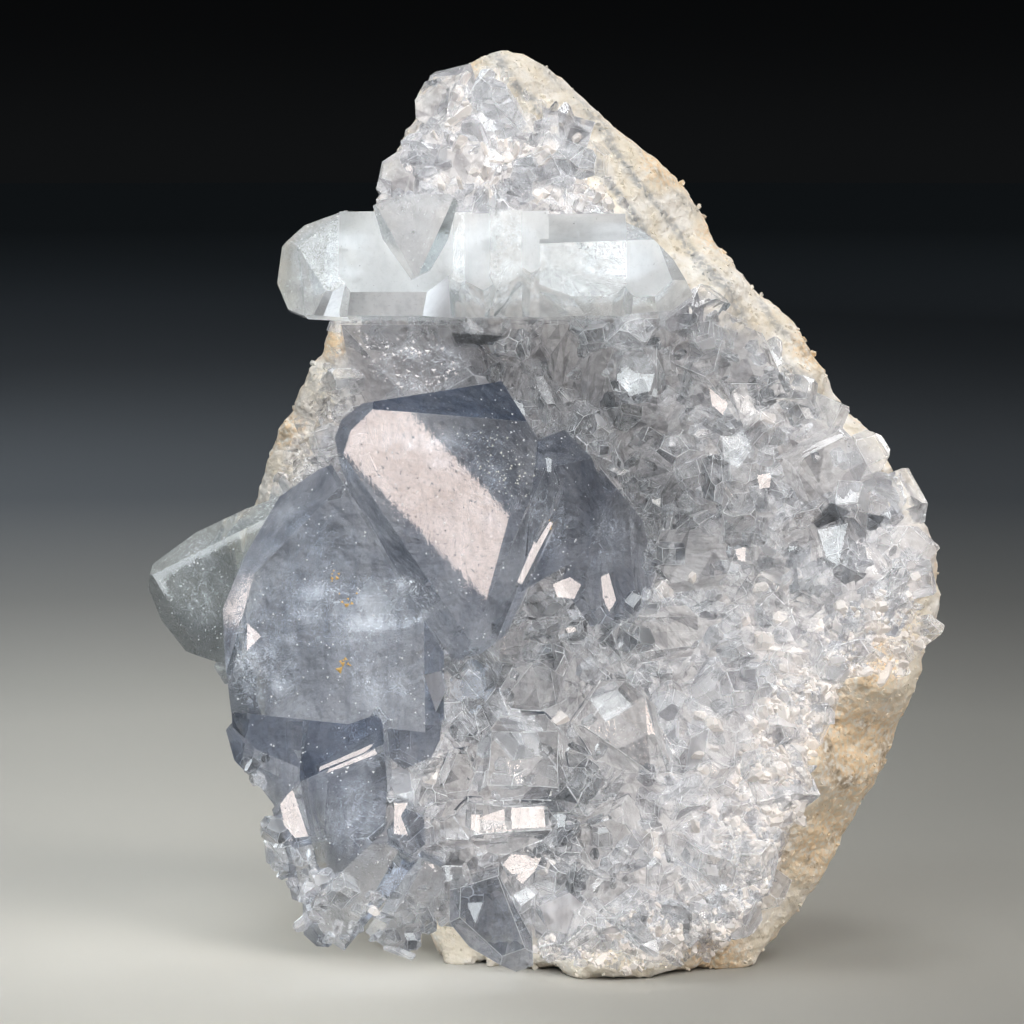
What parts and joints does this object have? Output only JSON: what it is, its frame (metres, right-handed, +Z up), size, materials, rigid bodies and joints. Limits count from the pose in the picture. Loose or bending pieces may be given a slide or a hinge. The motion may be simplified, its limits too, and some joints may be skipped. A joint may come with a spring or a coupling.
{
  "type": "celestite crystal specimen",
  "caption": "Broken piece of a geode's wall with a druse of clear crystals, large pale blue tabular crystals and a long bar-shaped crystal across its hollow side.",
  "frame": {"origin": "middle of the specimen's bounding box, at the surface it rests on", "axes": "+Z up as the specimen stands, +X to the viewer's right, crystals facing -Y and the rock's outside facing +Y"},
  "size_m": [0.081, 0.052, 0.0932],
  "materials": {
    "rock": "matte",
    "druse": "gloss",
    "blue_celestite": "gloss",
    "pale_celestite": "gloss",
    "smoky_celestite": "gloss"
  },
  "bodies": {
    "root": {"geode_wall": "rock", "druse_crust": "druse", "blue_crystal_group": "blue_celestite", "bar_crystal": "pale_celestite", "bottom_blue_crystal": "blue_celestite", "side_crystal": "pale_celestite", "smoky_crystal": "smoky_celestite"}
  },
  "joints": []
}
